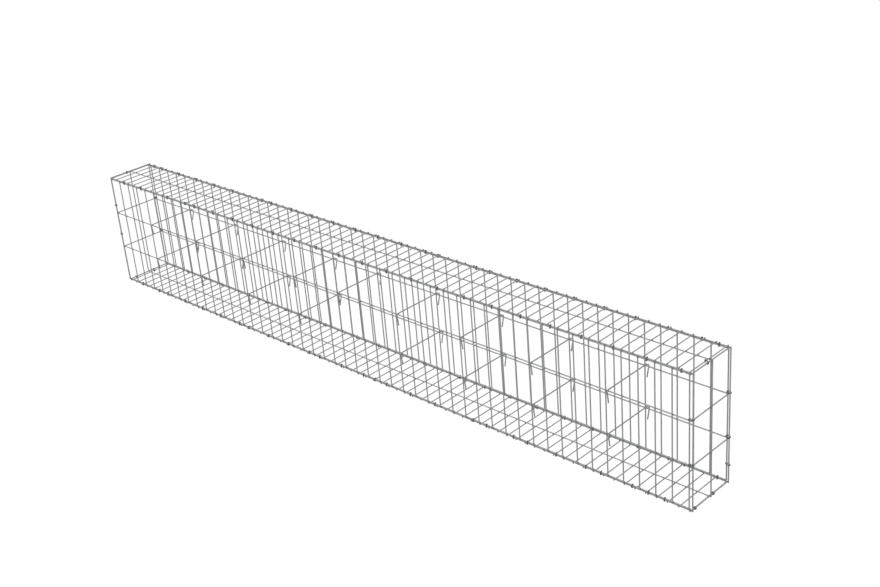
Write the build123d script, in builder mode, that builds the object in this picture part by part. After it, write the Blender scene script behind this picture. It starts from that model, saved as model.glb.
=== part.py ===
from build123d import *
import os

os.makedirs("parts", exist_ok=True)

# Gabion basket: an empty cage of welded wire mesh, long and narrow, made to be filled with stone.
# X runs along its length, Y through its depth with the front at -Y, and Z up.
# The origin is on the ground, under the middle of the basket. Sizes are in millimetres.

# Mesh of the six panels
wire = 4.0                  # thickness of the wires, flat to flat
upright_pitch = 62.0        # spacing of the uprights along the front and the back
row_pitch = 158.0           # spacing of the long wires up the front and the back
depth_pitch = 100.0         # spacing of the lid's long wires, and of the uprights in the ends
wall_cell_count = 48        # cells along the front and the back
depth_cell_count = 2        # cells across the lid, the base and the ends
height_cell_count = 3       # cells up the front, the back and the ends
cover_cell_count = 72       # cells along the lid and the base
overhang = 3.7              # how far a wire runs on past the last wire that it is welded to
weld_gap = 0.02             # between crossing wires at a weld, so that each wire is a solid

# How the panels stack against one another
clearance = 0.3             # between pieces that rest on one another
edge_spacing = 5.2          # up from the lid's edge wire to the edge wire of the panel under it
end_spacing = 6.0           # from the last upright of the front to the rows of the end panel

# Closing rings, bent shut round the edge wires of two panels
ring_wire = 3.0
ring_gap = 1.0              # between the two ends of a closed ring

# Spacer ties, straight wires that hold the front and the back together
tie_wire = 4.0
tie_offset = 7.0            # from the middle of an upright to the tie beside it
tie_tilt = 8.0              # turn of a tie about its own length, which carries its tails to the right
hook_start = 3.0            # from the middle of a wall's long wire out to where the tie bends down
hook_drop = 45.0            # how far below the tie its tails hang
front_reach = 6.5           # from the long wire's middle out to the knee of the front hook
front_knee = 4.0            # how far below the tie that knee is
front_lean = 1.5            # how far the front tail leans back in from its knee
back_reach = 16.0           # the same three for the back hook, which stands off its wall
back_knee = 9.0
back_lean = 11.0
tie_rows = {"lower": 1, "upper": 2}
tie_uprights = {"lower": [4, 9, 14, 19, 28, 33, 38, 43], "upper": [4, 9, 14, 19, 23, 28, 33, 38, 43]}

# Cells along each long edge whose middle holds a ring, counted from the left end
top_front_cells = [1, 3, 6, 8, 9, 11, 13, 15, 17, 19, 21, 23, 25, 27, 29, 31, 33, 35, 37, 39, 41, 43,
                   45, 47]
top_back_cells = [0, 1, 3, 5, 7, 9, 12, 13, 15, 17, 19, 21, 23, 25, 27, 28, 31, 32, 34, 36, 38, 40,
                  42, 44, 46, 47]
bottom_front_cells = [1, 3, 4, 6, 8, 10, 12, 13, 15, 17, 19, 20, 22, 24, 25, 26, 28, 30, 33, 34, 36,
                      37, 39, 41, 42, 44, 45, 46]
bottom_back_cells = [2, 4, 6, 9, 11, 13, 15, 17, 20, 22, 24, 26, 29, 31, 33, 35, 37, 39, 42, 44, 45,
                     47]

# Rings on the ends: places across the depth as shares of the spacing of the end's uprights,
# and heights in the corners as rows, where a whole number is a ring resting on that row
end_ring_places = {"bottom_left": [-0.7, 0.25], "bottom_right": [-0.8, 0.2],
                   "top_left": [-0.2], "top_right": [-0.2]}
corner_ring_rows = {"front_left": [1.35, 2.2], "front_right": [1, 2],
                    "back_left": [1, 2], "back_right": [0.35, 1, 2]}

# Worked out from the sizes above: half widths of a wire across its flats and its corners
half_flat = wire / 2
half_corner = wire / 3 ** 0.5
layer = wire + weld_gap
quarter_turn = 90.0         # turns a six-sided section so that its corners point upward
half_run = upright_pitch * wall_cell_count / 2
wall_y = depth_pitch * depth_cell_count / 2
face_y = wall_y + layer
end_x = half_run + end_spacing
end_face_x = end_x + layer

# How far the inside of a ring, and the side of a piece that rests on a wire, is from its middle
ring_grip = half_corner + clearance

# Heights of the wires' middles, upward from the rings that the basket stands on
base_cross_z = ring_grip + ring_wire
base_long_z = base_cross_z + layer
first_row_z = base_long_z + edge_spacing
last_row_z = first_row_z + row_pitch * height_cell_count
lid_long_z = last_row_z + edge_spacing
lid_cross_z = lid_long_z + layer
end_first_z = base_cross_z + edge_spacing
end_last_z = lid_cross_z - edge_spacing
end_row_pitch = (end_last_z - end_first_z) / height_cell_count
middle_z = (first_row_z + last_row_z) / 2

long_length = 2 * (half_run + overhang)
cross_length = 2 * (wall_y + overhang)
wall_height = last_row_z - first_row_z + 2 * overhang
end_height = end_last_z - end_first_z + 2 * overhang
cross_pitch = 2 * half_run / cover_cell_count


def write(piece, name):
    """Label a finished piece and write it as a STEP file of the same name."""
    piece.label = name
    export_step(piece, f"parts/{name}.step")


def wire_row(middle, pitch, count, upward=False, turned=False):
    """Six-sided wire sections side by side or upward, with the flats upward or turned sideways."""
    with Locations(middle):
        with GridLocations(0 if upward else pitch, pitch if upward else 0,
                           1 if upward else count, count if upward else 1):
            RegularPolygon(half_flat, 6, major_radius=False, rotation=quarter_turn if turned else 0)


# Front and back: uprights outside, and the long wires that they are welded to inside
for side, name in ((-1, "front_panel"), (1, "back_panel")):
    with BuildPart() as wall:
        with BuildSketch(Plane.XY.offset(first_row_z - overhang)):
            wire_row((0, side * face_y), upright_pitch, wall_cell_count + 1)
        extrude(amount=wall_height)
        with BuildSketch(Plane.YZ.offset(-long_length / 2)):
            wire_row((side * wall_y, middle_z), row_pitch, height_cell_count + 1, True, True)
        extrude(amount=long_length)
    write(wall.part, name)

# Lid and base: cross wires outside, and three long wires inside
for cross_z, long_z, name in ((lid_cross_z, lid_long_z, "lid_panel"),
                              (base_cross_z, base_long_z, "base_panel")):
    with BuildPart() as cover:
        with BuildSketch(Plane.XZ.offset(-cross_length / 2)):
            wire_row((0, cross_z), cross_pitch, cover_cell_count + 1)
        extrude(amount=cross_length)
        with BuildSketch(Plane.YZ.offset(-long_length / 2)):
            wire_row((0, long_z), depth_pitch, depth_cell_count + 1)
        extrude(amount=long_length)
    write(cover.part, name)

# Ends: uprights outside, and rows inside that close against the tips of the long wires
for side, name in ((-1, "left_end_panel"), (1, "right_end_panel")):
    with BuildPart() as end:
        with BuildSketch(Plane.XY.offset(end_first_z - overhang)):
            wire_row((side * end_face_x, 0), depth_pitch, depth_cell_count + 1, True, True)
        extrude(amount=end_height)
        with BuildSketch(Plane.XZ.offset(-cross_length / 2)):
            wire_row((side * end_x, middle_z), end_row_pitch, height_cell_count + 1, True, True)
        extrude(amount=cross_length)
    write(end.part, name)


def hook(side, reach, knee, lean):
    """Points of one hook in the plane of the tie, from the tail's end up to the straight part."""
    return [(side * (wall_y + reach - lean), -hook_drop),
            (side * (wall_y + reach), -knee),
            (side * (wall_y + hook_start), 0)]


# Spacer ties: laid across the long wires beside an upright, with a hook over each wall
front_hook = hook(-1, front_reach, front_knee, front_lean)
back_hook = hook(1, back_reach, back_knee, back_lean)
for level, row in tie_rows.items():
    tie_z = first_row_z + row * row_pitch + ring_grip + tie_wire / 3 ** 0.5
    for number, upright in enumerate(tie_uprights[level], 1):
        tie_x = upright * upright_pitch - half_run + tie_offset
        tilted = Vector(1, 0, 0).rotate(Axis.Y, -tie_tilt)
        across = Plane((tie_x, 0, tie_z), x_dir=(0, 1, 0), z_dir=tilted)
        with BuildPart() as tie:
            with BuildLine(across) as path:
                Polyline(*front_hook, *back_hook[::-1])
            with BuildSketch(Plane(path.line @ 0, x_dir=across.z_dir, z_dir=path.line % 0)):
                RegularPolygon(tie_wire / 2, 6, major_radius=False)
            sweep(transition=Transition.RIGHT)
        write(tie.part, f"spacer_tie_{level}_{number}")


def ring_outline(apart_x, apart_y, reach):
    """Points round a six-sided ring from gap to gap, standing off two wires' middles by reach."""
    top = apart_y / 2 + reach
    slope = apart_x * 3 ** 0.5 / 4 + apart_y / 4 + reach
    tip = slope * 2 / 3 ** 0.5
    flat = tip - top / 3 ** 0.5
    gap_x = tip - ring_gap / 12 ** 0.5
    return [(-gap_x, ring_gap / 2), (-flat, top), (flat, top), (tip, 0),
            (flat, -top), (-flat, -top), (-gap_x, -ring_gap / 2)]


def ring_section(apart_x, apart_y):
    """A ring closed round two wires that lie apart, with the gap between its ends at the left."""
    inner = ring_outline(apart_x, apart_y, ring_grip)
    outer = ring_outline(apart_x, apart_y, ring_grip + ring_wire)
    Polygon(*(outer + inner[::-1]), align=None)


# Rings along the four long edges, each in the middle of a cell
long_edges = {"top_front": (-1, (last_row_z + lid_long_z) / 2, top_front_cells),
              "top_back": (1, (last_row_z + lid_long_z) / 2, top_back_cells),
              "bottom_front": (-1, (first_row_z + base_long_z) / 2, bottom_front_cells),
              "bottom_back": (1, (first_row_z + base_long_z) / 2, bottom_back_cells)}
for edge, (side, height, cells) in long_edges.items():
    places = [(cell + 0.5) * upright_pitch - half_run - ring_wire / 2 for cell in cells]
    with BuildPart() as rings:
        with BuildSketch(*[Plane((x, side * wall_y, height), x_dir=(0, side, 0), z_dir=(1, 0, 0))
                           for x in places]):
            ring_section(0, edge_spacing)
        extrude(amount=ring_wire)
    write(rings.part, f"rings_{edge}")

# Rings across the ends, round the last cross wire of the lid or the base and an end's row
for edge, height in (("bottom", (base_cross_z + end_first_z) / 2),
                     ("top", (lid_cross_z + end_last_z) / 2)):
    for side, name in ((-1, "left"), (1, "right")):
        places = [place * depth_pitch + ring_wire / 2
                  for place in end_ring_places[f"{edge}_{name}"]]
        middle_x = (half_run + end_x) / 2
        with BuildPart() as rings:
            with BuildSketch(*[Plane((side * middle_x, y, height), x_dir=(side, 0, 0),
                                     z_dir=(0, -1, 0)) for y in places]):
                ring_section(end_spacing, edge_spacing)
            extrude(amount=ring_wire)
        write(rings.part, f"rings_{edge}_{name}_end")

# Rings in the four upright corners, round the last upright of a wall and that of an end
middle_x = (half_run + end_face_x) / 2
middle_y = (wall_y + face_y) / 2
for corner, rows in corner_ring_rows.items():
    side_x = -1 if corner.endswith("left") else 1
    side_y = -1 if corner.startswith("front") else 1
    heights = [max(first_row_z + row * row_pitch, end_first_z + row * end_row_pitch) + ring_grip
               for row in rows]
    with BuildPart() as rings:
        with BuildSketch(*[Plane((side_x * middle_x, side_y * middle_y, z), x_dir=(side_x, 0, 0),
                                 z_dir=(0, 0, 1)) for z in heights]):
            ring_section(end_face_x - half_run, face_y - wall_y)
        extrude(amount=ring_wire)
    write(rings.part, f"rings_corner_{corner}")
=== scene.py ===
import bpy
import math
import numpy as np
from mathutils import Matrix, Vector


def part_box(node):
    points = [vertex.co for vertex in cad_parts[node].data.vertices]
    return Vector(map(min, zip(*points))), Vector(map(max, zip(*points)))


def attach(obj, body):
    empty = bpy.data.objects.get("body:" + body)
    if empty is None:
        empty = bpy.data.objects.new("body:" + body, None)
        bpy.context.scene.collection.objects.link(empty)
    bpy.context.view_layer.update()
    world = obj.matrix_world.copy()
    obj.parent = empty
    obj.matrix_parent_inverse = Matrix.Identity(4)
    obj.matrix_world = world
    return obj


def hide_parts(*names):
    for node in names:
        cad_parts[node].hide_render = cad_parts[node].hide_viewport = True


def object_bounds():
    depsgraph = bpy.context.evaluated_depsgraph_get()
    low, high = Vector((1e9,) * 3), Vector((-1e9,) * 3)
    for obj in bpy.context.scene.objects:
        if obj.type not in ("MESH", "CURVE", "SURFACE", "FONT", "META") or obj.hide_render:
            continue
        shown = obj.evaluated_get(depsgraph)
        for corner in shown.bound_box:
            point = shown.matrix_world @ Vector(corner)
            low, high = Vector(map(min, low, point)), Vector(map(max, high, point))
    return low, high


# Gabion basket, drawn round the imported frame. Lengths are in metres, in the frame's own axes:
# X along the basket, the front at -Y, and Z up.
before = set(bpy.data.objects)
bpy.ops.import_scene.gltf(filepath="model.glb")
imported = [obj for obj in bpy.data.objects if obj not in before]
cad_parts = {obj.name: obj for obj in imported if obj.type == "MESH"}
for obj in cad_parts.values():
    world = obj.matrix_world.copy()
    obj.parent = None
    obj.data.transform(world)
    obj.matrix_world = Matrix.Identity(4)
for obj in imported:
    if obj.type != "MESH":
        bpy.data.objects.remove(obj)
cad_low, cad_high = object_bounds()


# Mesh panels
# Six flat panels of straight steel wire, galvanised and gone dull: an outer and an inner layer,
# resistance-welded where they cross. The weld presses the wires a little into each other, and leaves
# a small bead and a burn. The lid and the base are of slightly thinner wire than the rest.
wall_radius, cover_radius = 0.0023, 0.0020
wire_sides = 12
chamfer_share = 0.15        # length of the chamfer at a wire's cut end, as a share of its radius
cut_share = 0.82            # radius of the flat cut inside the chamfer, as a share of the wire's
sharp_angle = 0.9
same_place_digits = 6       # places that agree to a micrometre are one place
weld_reach = 0.006          # how far from a weld a wire begins to dip
weld_steps = np.array([-1, -0.5, 0, 0.5, 1])    # its points about a weld, in shares of weld_reach
press_depth = 0.0003
tip_trim = 0.0012
tip_play, side_play = 0.0002, 0.0003    # how far a wire's tips stray, along it and sideways
tip_clear = 0.0006          # no other point of a wire's line lies nearer to its tip
bead_sides = 8
bead_tilts = np.array([-0.8, 0.0, 0.8])
bead_width, bead_height = 0.0027, 0.0011
random = np.random.default_rng(7)

# The zinc: how fine each pattern is, and how much it adds to the tone, the dullness and the height
patch_scale, patch_detail, patch_tone, patch_dullness = 22.0, 4.0, 0.16, 0.25
crystal_scale, crystal_tone, crystal_dullness, crystal_height = 620.0, 0.07, 0.08, 0.25
line_stretch, line_scale, line_detail, line_tone, line_height = (9.0, 14.0, 1.0), 3.0, 3.0, 0.06, 0.5
grain_scale, grain_detail, grain_height = 2400.0, 2.0, 0.25
noise_middle, crystal_middle = 0.5, 0.4
burn_dullness = 0.15
red_share, blue_share = 0.985, 1.02
bump_depth, bump_strength = 0.00012, 0.5
metal_share = 0.65


class Shade:
    """One socket of a material, so that arithmetic on it adds Math nodes to the material."""

    def __init__(self, tree, socket=None):
        self.tree = tree
        self.socket = socket

    def node(self, kind, output, inputs, **settings):
        """Adds a node, sets it up, joins or fills its inputs by name, and gives one output."""
        made = self.tree.nodes.new(kind)
        for key, value in settings.items():
            setattr(made, key, value)
        for key, value in inputs.items():
            if isinstance(value, Shade):
                self.tree.links.new(value.socket, made.inputs[key])
            else:
                made.inputs[key].default_value = value
        return Shade(self.tree, made.outputs[output])

    def maths(self, operation, first, second):
        """Adds a Math node of one operation on two sockets or numbers."""
        return self.node("ShaderNodeMath", 0, {0: first, 1: second}, operation=operation)

    def __add__(self, other):
        return self.maths("ADD", self, other)

    def __radd__(self, other):
        return self.maths("ADD", other, self)

    def __sub__(self, other):
        return self.maths("SUBTRACT", self, other)

    def __rsub__(self, other):
        return self.maths("SUBTRACT", other, self)

    def __mul__(self, other):
        return self.maths("MULTIPLY", self, other)

    def __rmul__(self, other):
        return self.maths("MULTIPLY", other, self)


def galvanised(name, tone, dullness, burn):
    """Zinc of one tone: cloudy patches, millimetre crystals, drawing lines along the wire, and
    dark burnt spots where the mesh attribute "weld" is near one."""
    material = bpy.data.materials.new(name)
    material.use_nodes = True
    tree = material.node_tree
    start = Shade(tree)
    place = start.node("ShaderNodeTexCoord", "Object", {})
    along = start.node("ShaderNodeUVMap", "UV", {}, uv_map="wire")
    weld = start.node("ShaderNodeAttribute", "Fac", {}, attribute_name="weld")
    patches = start.node("ShaderNodeTexNoise", "Fac",
                         {"Vector": place, "Scale": patch_scale, "Detail": patch_detail})
    crystals = start.node("ShaderNodeTexVoronoi", "Distance", {"Vector": place, "Scale": crystal_scale})
    stretched = start.node("ShaderNodeMapping", "Vector", {"Vector": along, "Scale": line_stretch})
    lines = start.node("ShaderNodeTexNoise", "Fac",
                       {"Vector": stretched, "Scale": line_scale, "Detail": line_detail})
    grain = start.node("ShaderNodeTexNoise", "Fac",
                       {"Vector": place, "Scale": grain_scale, "Detail": grain_detail})
    light = (tone + (patches - noise_middle) * patch_tone + (crystals - crystal_middle) * crystal_tone
             + (lines - noise_middle) * line_tone)
    light = light * (1.0 - weld * burn)
    colour = start.node("ShaderNodeCombineColor", "Color",
                        {"Red": light * red_share, "Green": light, "Blue": light * blue_share})
    roughness = (dullness + (patches - noise_middle) * patch_dullness
                 + (crystals - crystal_middle) * crystal_dullness + weld * burn_dullness)
    height = lines * line_height + crystals * crystal_height + grain * grain_height
    bump = start.node("ShaderNodeBump", "Normal",
                      {"Height": height, "Distance": bump_depth, "Strength": bump_strength})
    surface = tree.nodes["Principled BSDF"]
    for key, value in (("Base Color", colour), ("Roughness", roughness), ("Normal", bump)):
        tree.links.new(value.socket, surface.inputs[key])
    surface.inputs["Metallic"].default_value = metal_share
    return material


mesh_zinc = galvanised("mesh_zinc", tone=0.44, dullness=0.48, burn=0.35)


def closed_rows(rows, sides):
    """Faces of a closed skin over rows of points, sides points to a row: quads between the rows, and
    triangles that close the first and the last row on a middle point each. The two middle points
    come after the rows."""
    row, column = np.divmod(np.arange((rows - 1) * sides), sides)
    after = (column + 1) % sides
    quads = np.stack([row * sides + column, row * sides + after, (row + 1) * sides + after,
                      (row + 1) * sides + column], -1)
    first = np.arange(sides)
    last = first + (rows - 1) * sides
    first_cap = np.stack([np.full(sides, rows * sides), np.roll(first, -1), first], -1)
    last_cap = np.stack([np.full(sides, rows * sides + 1), last, np.roll(last, -1)], -1)
    return quads, np.vstack([first_cap, last_cap])


def tube(path, side, radius, weld=None):
    """A round wire along a flat path of points. At each point it has a circle of wire_sides corners,
    at the radius times cosine along side, and times sine along the path's direction crossed with
    side. Each end is a flat disc with a chamfer, as a cut leaves it."""
    path = np.asarray(path, float)
    direction = np.gradient(path, axis=0)
    direction /= np.linalg.norm(direction, axis=1)[:, None]
    across = np.cross(direction, side)
    chamfer = chamfer_share * radius
    path = np.vstack([path[:1], path[:1] + direction[:1] * chamfer, path[1:-1],
                      path[-1:] - direction[-1:] * chamfer, path[-1:]])
    across = np.vstack([across[:1], across[:1], across[1:-1], across[-1:], across[-1:]])
    size = np.full(len(path), radius)
    size[[0, -1]] = cut_share * radius
    angle = np.linspace(0, 2 * np.pi, wire_sides, endpoint=False)[None, :, None]
    circles = np.cos(angle) * side + np.sin(angle) * across[:, None, :]
    points = (path[:, None, :] + size[:, None, None] * circles).reshape(-1, 3)
    quads, caps = closed_rows(len(path), wire_sides)
    length = np.concatenate([[0.0], np.cumsum(np.linalg.norm(np.diff(path, axis=0), axis=1))])
    row, column = np.divmod(np.arange(len(quads)), wire_sides)
    u = np.stack([column, column + 1, column + 1, column], -1) / wire_sides
    v = np.stack([length[row], length[row], length[row + 1], length[row + 1]], -1)
    weld = np.zeros(len(path) - 2) if weld is None else weld
    weld = np.concatenate([weld[:1], weld, weld[-1:]])
    heat = np.concatenate([np.repeat(weld, wire_sides), weld[:1], weld[-1:]])
    return np.vstack([points, path[:1], path[-1:]]), quads, caps, np.stack([u, v], -1), heat


def build(name, parts, material, node):
    """Joins the parts, each as tube gives it, into one smooth mesh that stands for the CAD node."""
    points, faces, uv, heat = [], [], [], []
    offset = 0
    for part_points, quads, caps, part_uv, part_heat in parts:
        points.append(part_points)
        faces += (quads + offset).tolist() + (caps + offset).tolist()
        uv += [part_uv.reshape(-1, 2), np.zeros((caps.size, 2))]
        heat.append(part_heat)
        offset += len(part_points)
    mesh = bpy.data.meshes.new(name)
    mesh.from_pydata(np.vstack(points).tolist(), [], faces)
    mesh.uv_layers.new(name="wire").data.foreach_set("uv", np.vstack(uv).astype(np.float32).ravel())
    attribute = mesh.attributes.new("weld", "FLOAT", "POINT")
    attribute.data.foreach_set("value", np.concatenate(heat).astype(np.float32))
    mesh.shade_smooth()
    mesh.set_sharp_from_angle(angle=sharp_angle)
    mesh.materials.append(material)
    piece = bpy.data.objects.new(name, mesh)
    bpy.context.scene.collection.objects.link(piece)
    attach(piece, "root")
    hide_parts(node)


def boxes(node):
    """The lowest and highest corner of each separate solid of a CAD node. Corners of triangles that
    share a place are one point, and points that a triangle joins take the lowest number among them,
    again and again until none changes."""
    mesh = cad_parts[node].data
    mesh.calc_loop_triangles()
    place = np.empty(len(mesh.vertices) * 3)
    mesh.vertices.foreach_get("co", place)
    place = place.reshape(-1, 3)
    corners = np.empty(len(mesh.loop_triangles) * 3, np.int32)
    mesh.loop_triangles.foreach_get("vertices", corners)
    _, same = np.unique(np.round(place, same_place_digits), axis=0, return_inverse=True)
    corners = same.ravel()[corners].reshape(-1, 3)
    label = np.arange(same.max() + 1)
    while True:
        lowest = label[corners].min(axis=1)
        new = label.copy()
        for k in range(3):
            np.minimum.at(new, corners[:, k], lowest)
        if (new == label).all():
            break
        label = new
    label = label[same.ravel()]
    return [(place[label == k].min(axis=0), place[label == k].max(axis=0)) for k in np.unique(label)]


def bead(middle, normal):
    """A flattened ball of metal between two crossing wires. A point at a turn and a tilt lies out
    from the panel's normal by bead_width times the tilt's cosine, and along it by bead_height times
    the tilt's sine. A pole closes it at each side."""
    first = np.roll(normal, 1)
    second = np.cross(normal, first)
    turn = np.linspace(0, 2 * np.pi, bead_sides, endpoint=False)[None, :, None]
    tilt = bead_tilts[:, None, None]
    flat = np.cos(tilt) * bead_width * (np.cos(turn) * first + np.sin(turn) * second)
    rows = (middle + flat + np.sin(tilt) * bead_height * normal).reshape(-1, 3)
    points = np.vstack([rows, middle - normal * bead_height, middle + normal * bead_height])
    quads, caps = closed_rows(len(bead_tilts), bead_sides)
    return points, quads, caps, np.zeros((len(quads), 4, 2)), np.ones(len(points))


def crossed(wire, other):
    """Whether two wires of a panel, each given as its axis, middle and half length, run different
    ways and each passes within the other's length."""
    axis, middle, half = wire
    other_axis, other_middle, other_half = other
    return (other_axis != axis and abs(other_middle[axis] - middle[axis]) < half
            and abs(middle[other_axis] - other_middle[other_axis]) < other_half)


def panel(name, node, radius):
    """Each box of the node is one wire along its longest side. Near a weld it dips towards the wire
    that it crosses, far enough for the two to press together, by the squared cosine of its distance
    from the weld. It lies a fraction of a millimetre off its place."""
    wires = []
    for low, high in boxes(node):
        axis = int(np.argmax(high - low))
        wires.append((axis, (low + high) / 2, (high - low)[axis] / 2 - tip_trim))
    thin = int(np.argmin(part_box(node)[1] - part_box(node)[0]))
    layers_apart = np.ptp([middle[thin] for _, middle, _ in wires])
    dip = press_depth + layers_apart / 2 - radius
    parts, beads = [], []
    for wire in wires:
        axis, middle, half = wire
        flat = 3 - axis - thin      # the axis that is left, across the wire in the panel's plane
        met = np.array([other[1] for other in wires if crossed(wire, other)])
        towards = np.sign(met[0, thin] - middle[thin])
        welds = met[:, axis]
        places = np.unique(np.round(np.add.outer(welds, weld_steps * weld_reach), same_place_digits))
        ends = middle[axis] + half * np.array([-1, 1]) + random.uniform(-tip_play, tip_play, 2)
        inside = (places > ends[0] + tip_clear) & (places < ends[1] - tip_clear)
        places = np.concatenate([ends[:1], places[inside], ends[1:]])
        from_weld = np.abs(places[:, None] - welds[None, :]).min(axis=1)
        press = np.cos(np.clip(from_weld / weld_reach, 0, 1) * np.pi / 2) ** 2
        path = np.tile(middle, (len(places), 1))
        path[:, axis] = places
        path[:, thin] += towards * dip * press
        lean = random.uniform(-side_play, side_play, 2)
        path[:, flat] += np.interp(places, ends, lean)
        parts.append(tube(path, np.eye(3)[flat], radius, press))
        if towards > 0:
            bead_places = (middle + met) / 2
            bead_places[:, axis] = welds
            bead_places[:, flat] = middle[flat]
            beads += [bead(place, np.eye(3)[thin]) for place in bead_places]
    build(name, parts + beads, mesh_zinc, node)


panel_radii = {"front": wall_radius, "back": wall_radius, "lid": cover_radius, "base": cover_radius,
               "left_end": wall_radius, "right_end": wall_radius}
for panel_place, panel_radius in panel_radii.items():
    panel(f"{panel_place}_mesh", f"{panel_place}_panel", panel_radius)


# Spacer ties
# Seventeen straight wires of darker zinc across the basket. Each rests on a long wire of the front
# and one of the back, beside an upright. Its ends are bent down outside: the front hook lies against
# its wall, and the back one stands off and leans in.
tie_zinc = galvanised("tie_zinc", tone=0.37, dullness=0.46, burn=0.0)
tie_radius = 0.0022
bend_radius, bend_points = 0.005, 7
settle = 0.0004             # a tie lies this much lower than in the CAD, on its long wires
tilt, tilt_play = math.radians(8.0), 0.02       # its turn about its own length, and how far it strays
hook_start = 0.003          # from a wall's long wire out to where the tie bends down
front_hook = {"reach": 0.0065, "knee": 0.004, "lean": 0.0015, "drop": 0.045}
back_hook = {"reach": 0.016, "knee": 0.009, "lean": 0.013, "drop": 0.049}
front_turn, back_turn = math.radians(-3.0), math.radians(-6.0)
tail_play = 0.001

# The CAD's wires are six-sided prisms, so a tie's lowest x and highest z lie a known share of its
# corner's reach from the middle line of its straight part
cad_wire = 0.004
cad_corner = cad_wire / math.sqrt(3)
long_wire_y = cad_wire / 2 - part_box("front_panel")[1][1]


def rounded(points, radius):
    """A line through the points with an arc at each corner. The arc touches both sides, and each of
    its points is a blend of the two touching radii, by the sines of the angles left and turned."""
    points = np.asarray(points, float)
    line = [points[0]]
    for before, corner, after in zip(points, points[1:], points[2:]):
        one = (before - corner) / np.linalg.norm(before - corner)
        two = (after - corner) / np.linalg.norm(after - corner)
        half = np.arccos(one @ two) / 2
        centre = corner + (one + two) / np.linalg.norm(one + two) * radius / np.sin(half)
        start = corner + one * radius / np.tan(half) - centre
        stop = corner + two * radius / np.tan(half) - centre
        sweep = np.pi - 2 * half
        share = np.linspace(0, 1, bend_points)[:, None]
        blend = np.sin((1 - share) * sweep) * start + np.sin(share * sweep) * stop
        line += list(centre + blend / np.sin(sweep))
    line.append(points[-1])
    return np.array(line)


def hook(side, turned, reach, knee, lean, drop):
    """Points of a hook, from its tail's end to the straight part. The tail hangs in a plane that is
    turned about the tie. Its knee stands reach out from the wall's long wire, knee below the tie, and
    its end is drop below it and leans back in, give or take a millimetre."""
    down = np.array([math.sin(turned), 0.0, -math.cos(turned)])
    outline = [(long_wire_y + reach - lean + random.uniform(-tail_play, tail_play), drop),
               (long_wire_y + reach, knee), (long_wire_y + hook_start, 0.0)]
    return [np.array([0.0, side * out, 0.0]) + fall * down for out, fall in outline]


for tie_node in sorted(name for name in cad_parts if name.startswith("spacer_tie_")):
    tie_low, tie_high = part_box(tie_node)
    tie_middle = np.array([tie_low[0] + cad_corner * math.cos(tilt), 0.0,
                           tie_high[2] - cad_corner * math.cos(math.pi / 6 - tilt) - settle])
    turned = tilt + random.uniform(-tilt_play, tilt_play)
    tie_corners = hook(-1, turned + front_turn, **front_hook)
    tie_corners += hook(1, turned + back_turn, **back_hook)[::-1]
    tie_path = rounded([tie_middle + corner for corner in tie_corners], bend_radius)
    tie_side = np.array([math.cos(turned), 0.0, math.sin(turned)])
    build(tie_node.replace("spacer_", ""), [tube(tie_path, tie_side, tie_radius)], tie_zinc, tie_node)


# Closing rings
# Rings of dark wire just under 4 mm thick, bent shut with pliers round the edge wires of two panels.
# A small gap is left between their two ends, on the side towards the inside of the basket.
ring_zinc = galvanised("ring_zinc", tone=0.17, dullness=0.38, burn=0.0)
ring_radius = 0.0018
ring_gap = 0.001
ring_bend_points = 10
ring_skew = 0.0003

# From the middle of a held wire out to the outside of the CAD's ring
cad_clearance, cad_ring_wire = 0.0003, 0.003
ring_reach = cad_corner + cad_clearance + cad_ring_wire


def ring(low, high):
    """A wire bent shut round two others. Its line is the outline at one distance round the straight
    from one wire's middle to the other's: half circles round the ends of a step each way, and two
    straights, with the gap in the straight that faces the inside of the basket. The step follows
    from the sides of the CAD ring's box, and leans the way that the two wires lie in that corner."""
    centre = (low + high) / 2
    half = (high - low) / 2
    thin = int(np.argmin(half))
    wide, tall = [k for k in range(3) if k != thin]
    outward = np.sign(centre - (cad_low + cad_high) / 2)
    step = np.zeros(3)
    step_tall = half[tall] - ring_reach
    step[wide] = half[wide] - (ring_reach + step_tall / 2) * 2 / math.sqrt(3)
    step[tall] = -outward[wide] * outward[tall] * step_tall
    along = step / np.linalg.norm(step)
    side = np.eye(3)[thin]
    inward = np.cross(side, along)
    inward *= -np.sign(inward @ outward)
    turn = np.linspace(0, np.pi, ring_bend_points)[:, None]
    reach = ring_reach - ring_radius
    bend = reach * (np.cos(turn) * inward + np.sin(turn) * along)
    first_end = (reach * inward + along * ring_gap / 2)[None, :]
    path = centre + np.vstack([first_end, step + bend, -step - bend, first_end - along * ring_gap])
    path[:, thin] += np.linspace(-ring_skew, ring_skew, len(path)) * random.choice([-1, 1])
    return tube(path, side, ring_radius)


for ring_node in sorted(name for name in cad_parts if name.startswith("rings_")):
    build(ring_node.replace("rings_", "ring_row_"), [ring(*box) for box in boxes(ring_node)], ring_zinc,
          ring_node)


# Studio
# A white surround and a white floor, as in a product photograph. Both are plain white to the camera,
# and the surround and two large lamps light the basket softly. The floor keeps its faint shadow.
plain_white, matt_white = (1, 1, 1, 1), (0.8, 0.8, 0.8, 1)
surround_glow = 0.30
shadow_share = 0.25
floor_reach, floor_drop = 9.0, 0.0005
light_aim = Vector((0, 0, 0.2))


def seen_white(tree, shown, mirrored):
    """Gives one for a ray that looks, and the strength of the white that it sees: shown for a camera
    ray and for one that has passed through something clear, and mirrored for one that a shiny
    surface reflects. Both are zero for a ray that only carries light."""
    start = Shade(tree)
    camera = start.node("ShaderNodeLightPath", "Is Camera Ray", {})
    glossy = start.node("ShaderNodeLightPath", "Is Glossy Ray", {})
    clear = start.node("ShaderNodeLightPath", "Is Transmission Ray", {})
    return camera + glossy + clear, (camera + clear) * shown + glossy * mirrored


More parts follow.
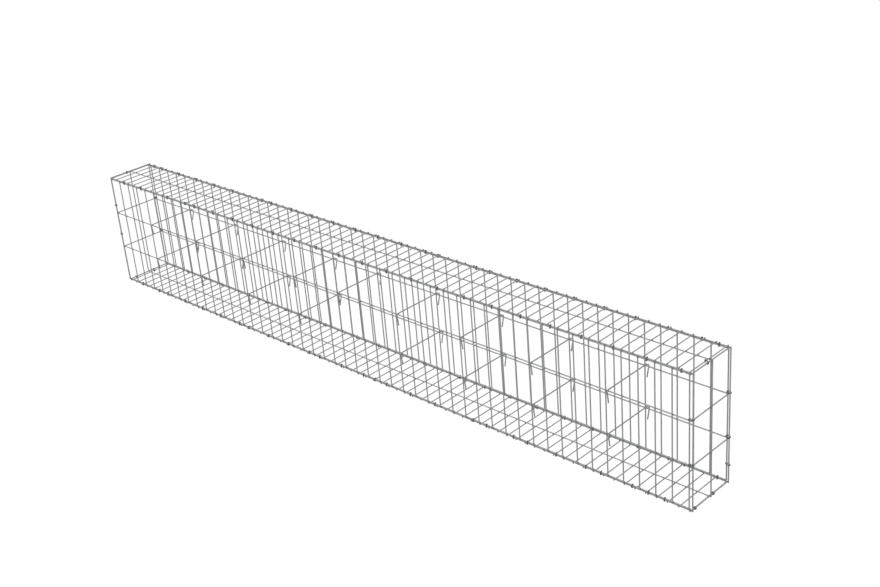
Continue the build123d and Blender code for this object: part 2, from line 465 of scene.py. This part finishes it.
world = bpy.data.worlds.new("surround")
world.use_nodes = True
looking, strength = seen_white(world.node_tree, shown=1.0, mirrored=1.0)
strength = strength + (1.0 - looking) * surround_glow
background = world.node_tree.nodes["Background"]
background.inputs["Color"].default_value = plain_white
world.node_tree.links.new(strength.socket, background.inputs["Strength"])
bpy.context.scene.world = world

floor_material = bpy.data.materials.new("white_floor")
floor_material.use_nodes = True
floor_tree = floor_material.node_tree
looking, strength = seen_white(floor_tree, shown=1.26, mirrored=0.6)
matt = looking.node("ShaderNodeBsdfDiffuse", "BSDF", {"Color": matt_white})
light = looking.node("ShaderNodeEmission", "Emission", {"Color": plain_white, "Strength": strength})
both = looking.node("ShaderNodeMixShader", "Shader",
                    {0: looking * (1.0 - shadow_share), 1: matt, 2: light})
floor_tree.links.new(both.socket, floor_tree.nodes["Material Output"].inputs["Surface"])

floor_mesh = bpy.data.meshes.new("floor")
floor_corners = [(x * floor_reach, y * floor_reach, 0) for x, y in ((-1, -1), (1, -1), (1, 1), (-1, 1))]
floor_mesh.from_pydata(floor_corners, [], [(0, 1, 2, 3)])
floor_mesh.materials.append(floor_material)
floor = bpy.data.objects.new("floor", floor_mesh)
bpy.context.scene.collection.objects.link(floor)
floor.location.z = cad_low[2] - floor_drop

for light_name, light_place, light_size, light_power in (("key", (2.6, -4.0, 1.5), 2.6, 60.0),
                                                         ("fill", (-2.6, -3.0, 1.6), 2.0, 22.0)):
    lamp = bpy.data.lights.new(light_name, "AREA")
    lamp.size = light_size
    lamp.energy = light_power
    holder = bpy.data.objects.new(light_name, lamp)
    bpy.context.scene.collection.objects.link(holder)
    holder.location = light_place
    holder.rotation_euler = (light_aim - holder.location).to_track_quat("-Z", "Y").to_euler()


# Camera
# Placed from the long edges, the uprights and the corners of the basket in the photograph: to the
# front right of it and above. The basket's middle lies aside and upward of the picture's middle,
# which is to its left and below it, because both are negative.
azimuth, elevation, roll = math.radians(45.463), math.radians(25.468), math.radians(-4.868)
aside, upward, distance = -0.2595, -0.0476, 5.060
focal_pixels, picture_width = 1346.4, 880
target = Vector((0, 0, 0.2518))
back = Vector((math.sin(azimuth) * math.cos(elevation), -math.cos(azimuth) * math.cos(elevation),
               math.sin(elevation)))
right = Vector((0, 0, 1)).cross(back).normalized()
up = back.cross(right)
right, up = (right * math.cos(roll) + up * math.sin(roll), up * math.cos(roll) - right * math.sin(roll))
camera_data = bpy.data.cameras.new("camera")
camera_data.lens = focal_pixels / picture_width * camera_data.sensor_width
camera_data.clip_start = 0.1
camera = bpy.data.objects.new("camera", camera_data)
bpy.context.scene.collection.objects.link(camera)
camera.matrix_world = Matrix((right, up, back)).transposed().to_4x4()
camera.location = target + back * distance - right * aside - up * upward
bpy.context.scene.camera = camera
bpy.context.scene.view_settings.view_transform = "Standard"
